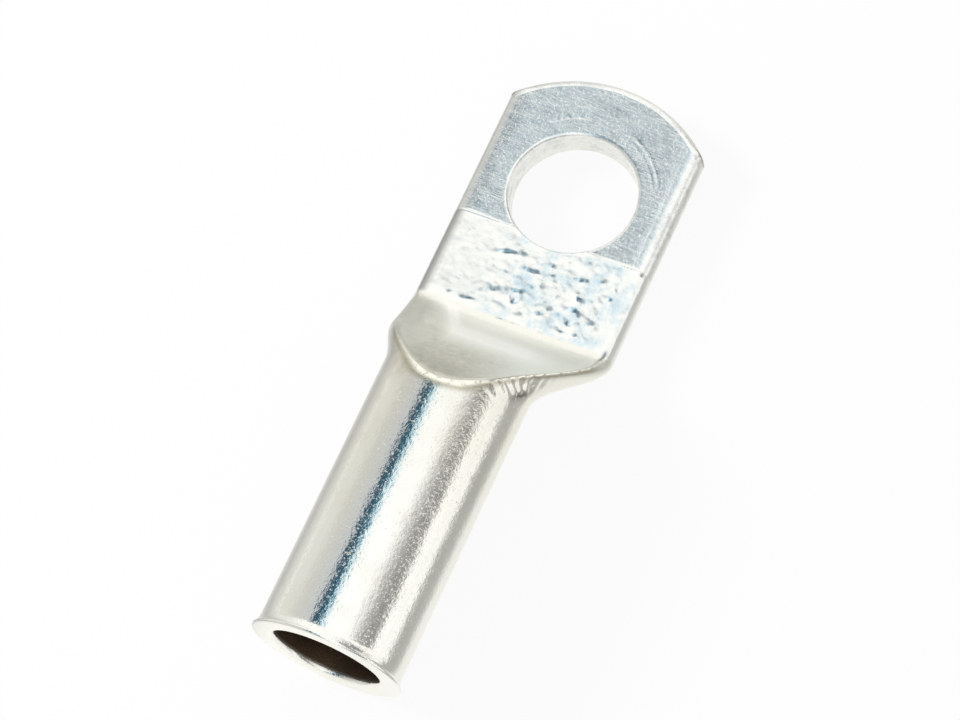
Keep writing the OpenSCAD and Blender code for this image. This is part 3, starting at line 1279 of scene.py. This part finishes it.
@dataclass(frozen=True)
class Studio:
    """A pale table in a room of soft boxes, and the camera above it, in metres.

    The plate mirrors the bands. In the room a band's place is the angle about the lug's length,
    in degrees from level on the left, over the top, to level on the right: beside the lug, ahead
    of it, or afar, nearly level ahead. On the table it is the distance to the left, in
    millimetres, and there the bands are painted glow and painted shadow that only the plate's
    reflections show.
    """

    floor_z: float
    look_at: Triple = (-0.0135, 0.0003, 0.004)
    stand_at: Triple = (-0.0761, -0.0522, 0.1852)
    picture_up: Triple = (0.857, 0.333, 0.393)
    lens: float = 119.0
    nearest: float = 0.01
    floor_size: float = 1.6
    matte: Colour = (0.93, 0.93, 0.92)
    white: Colour = (1.0, 1.0, 1.0)
    whitened: float = 0.9
    mirrored: float = 0.6
    plain_level: float = 0.7
    ahead_run: Run = (0.38, 0.50)
    ahead_lean: float = 0.4
    ahead_from: float = 0.6
    afar_run: Run = (0.57, 0.66)
    lamp_at: Triple = (-0.03, 0.40, 0.24)
    lamp_size: float = 0.14
    lamp_power: float = 1.3
    beside: Bands = (
        (0.0, 0.84, 0.84, 0.79), (18.0, 0.83, 0.83, 0.78), (33.0, 0.70, 0.70, 0.66),
        (50.0, 0.66, 0.68, 0.68), (59.0, 0.64, 0.68, 0.72), (64.0, 0.10, 0.15, 0.20),
        (67.0, 0.03, 0.08, 0.13), (75.0, 0.05, 0.15, 0.22), (79.0, 0.55, 0.85, 1.00),
        (86.0, 1.18, 1.20, 1.20), (118.0, 1.19, 1.20, 1.19), (125.0, 1.00, 1.00, 0.98),
        (139.0, 0.50, 0.50, 0.49), (147.0, 0.36, 0.36, 0.355), (155.0, 0.32, 0.32, 0.31),
        (162.0, 0.42, 0.42, 0.41), (166.0, 1.19, 1.19, 1.17), (180.0, 1.20, 1.20, 1.18),
    )
    ahead: Bands = (
        (0.0, 0.92, 0.92, 0.90), (28.0, 0.98, 0.98, 0.96), (42.0, 1.18, 1.18, 1.14),
        (125.0, 1.20, 1.19, 1.15), (168.0, 1.15, 1.14, 1.10), (180.0, 1.15, 1.14, 1.10),
    )
    afar: Bands = (
        (0.0, 0.94, 0.94, 0.92), (28.0, 1.00, 1.00, 0.98), (40.0, 1.18, 1.18, 1.14),
        (100.0, 1.18, 1.18, 1.16), (118.0, 0.95, 0.95, 0.94), (132.0, 0.42, 0.43, 0.44),
        (146.0, 0.26, 0.27, 0.28), (156.0, 0.34, 0.34, 0.34), (168.0, 0.85, 0.85, 0.83),
        (180.0, 0.70, 0.70, 0.68),
    )
    # painted glow and painted shadow on the table, by the distance to the left; only the plate's
    # reflections show it
    table_glow: Bands = (
        (-60.0, 1.34, 1.34, 1.31), (-32.0, 1.30, 1.30, 1.27), (-27.0, 0.80, 0.80, 0.78),
        (-20.0, 0.24, 0.24, 0.22), (-14.0, 0.36, 0.36, 0.33), (-9.5, 0.50, 0.50, 0.45),
        (-7.0, 1.20, 1.20, 1.14), (6.0, 1.20, 1.20, 1.14), (9.6, 0.65, 0.65, 0.63),
        (14.0, 0.32, 0.32, 0.30), (17.0, 0.32, 0.32, 0.30), (22.0, 0.48, 0.48, 0.44),
        (33.0, 0.60, 0.60, 0.55), (60.0, 0.70, 0.70, 0.65),
    )

    def camera(self) -> None:
        """Place the camera, with its long side across the table."""
        data = bpy.data.cameras.new("camera")
        data.lens = self.lens
        data.clip_start = self.nearest
        camera = put("camera", data)
        back = (Vector(self.stand_at) - Vector(self.look_at)).normalized()
        across = Vector(self.picture_up).cross(back).normalized()
        turn = Matrix((across, back.cross(across), back)).transposed().to_4x4()
        camera.matrix_world = Matrix.Translation(self.stand_at) @ turn
        bpy.context.scene.camera = camera

    def floor(self) -> None:
        """Lay the table: a plain pale sheet that keeps the lug's shadow, with painted glow and
        shadow bands that only reflections show.
        """
        half = self.floor_size / 2.0
        mesh = bpy.data.meshes.new("table")
        corners = [(-half, -half), (half, -half), (half, half), (-half, half)]
        mesh.from_pydata([(*corner, self.floor_z) for corner in corners], [], [(0, 1, 2, 3)])
        material = bpy.data.materials.new("white_table")
        book = Book(material)
        y = book.axes("Object")[2] / MM
        first, last = self.table_glow[0][0], self.table_glow[-1][0]
        matte = book.node("ShaderNodeBsdfDiffuse", {"Color": (*self.matte, 1.0)})
        white = book.node("ShaderNodeEmission", {"Color": (*self.white, 1.0)})
        bands = book.ramp((y - first) / (last - first), self.table_glow)
        # painted glow and shadow of the table, for the plate's reflections only
        table_glow = book.node("ShaderNodeEmission", {"Color": bands})
        path = book.node("ShaderNodeLightPath")
        under = book.between(book.out(path, "Is Glossy Ray") * self.mirrored, matte, table_glow)
        mixed = book.between(book.out(path, "Is Camera Ray") * self.whitened, under, white)
        book.node("ShaderNodeOutputMaterial", {"Surface": mixed})
        material.cycles.emission_sampling = "NONE"
        mesh.materials.append(material)
        put("table", mesh)

    def world(self) -> None:
        """Surround the lug: plain soft light, white to the camera, soft boxes in the plate."""
        world = bpy.data.worlds.new("studio")
        bpy.context.scene.world = world
        book = Book(world)
        _, x, y, z = book.axes("Generated")
        angle = z.angle_from(y) / math.pi
        beside, ahead, afar = (book.ramp(angle, it) for it in (self.beside, self.ahead, self.afar))
        forward = x + self.ahead_lean * angle.beyond(self.ahead_from)
        colour = book.mix(forward.step(self.ahead_run), beside, ahead)
        colour = book.mix(x.step(self.afar_run), colour, afar)
        white = (*self.white, 1.0)
        plain = book.node("ShaderNodeBackground", {"Color": white, "Strength": self.plain_level})
        boxes, seen = (
            book.node("ShaderNodeBackground", {"Color": shown, "Strength": 1.0})
            for shown in (colour, white)
        )
        path = book.node("ShaderNodeLightPath")
        lit = book.between(book.out(path, "Is Glossy Ray"), plain, boxes)
        both = book.between(book.out(path, "Is Camera Ray"), lit, seen)
        book.node("ShaderNodeOutputWorld", {"Surface": both})

    def lamp(self) -> None:
        """Hang one large soft lamp over the table's left side."""
        data = bpy.data.lights.new("soft_lamp", "AREA")
        data.shape = "DISK"
        data.size = self.lamp_size
        data.energy = self.lamp_power
        lamp = put("soft_lamp", data)
        lamp.location = self.lamp_at
        lamp.rotation_euler = Vector(self.lamp_at).to_track_quat("Z", "Y").to_euler()
        lamp.visible_glossy = False
        lamp.visible_camera = False

    def build(self) -> None:
        """Set up the camera, the table, the surroundings and the lamp."""
        self.camera()
        self.floor()
        self.world()
        self.lamp()


def main() -> None:
    """Build the lug and its studio, and report each piece."""
    logging.basicConfig(level=logging.INFO, format="%(name)s: %(message)s")
    lug = CableLug(LugSizes.from_frame(frame["record"])).build()
    LOG.info("%s: %d points", lug.name, len(lug.data.vertices))
    Studio(floor_z=float(CAD_BOX[0][2])).build()
    bpy.context.scene.view_settings.view_transform = "Standard"


if __name__ == "__main__":
    main()
